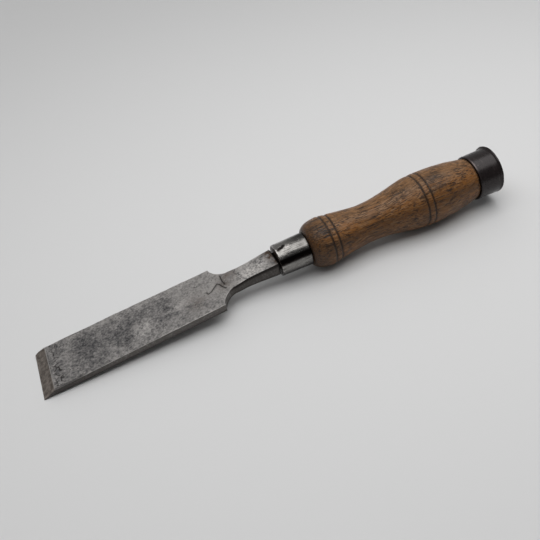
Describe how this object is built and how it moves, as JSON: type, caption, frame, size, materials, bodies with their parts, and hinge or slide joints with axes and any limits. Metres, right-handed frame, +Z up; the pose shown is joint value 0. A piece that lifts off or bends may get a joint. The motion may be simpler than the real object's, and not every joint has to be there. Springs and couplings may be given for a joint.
{
  "type": "bench chisel",
  "caption": "Square-sided firmer chisel with a tanged steel blade, turned wooden handle, plain ferrule and black striking hoop, for paring and chopping wood.",
  "frame": {"origin": "on the ground under the middle of the tool as it lies on its cutting edge and on the swell of its handle", "axes": "+X from the cutting edge towards the butt, +Y to the left seen from the butt's end, +Z up with the bevel on top"},
  "size_m": [0.2756, 0.033, 0.0315],
  "materials": {
    "blade_steel": "worn forged steel with dark mottling and pits",
    "ferrule_steel": "worn bright steel",
    "handle_wood": "oiled hardwood with an open grain, handled and dented",
    "hoop_steel": "blackened satin steel"
  },
  "bodies": {
    "root": {"blade": "blade_steel", "ferrule": "ferrule_steel", "handle": "handle_wood", "striking_hoop": "hoop_steel"}
  },
  "joints": []
}
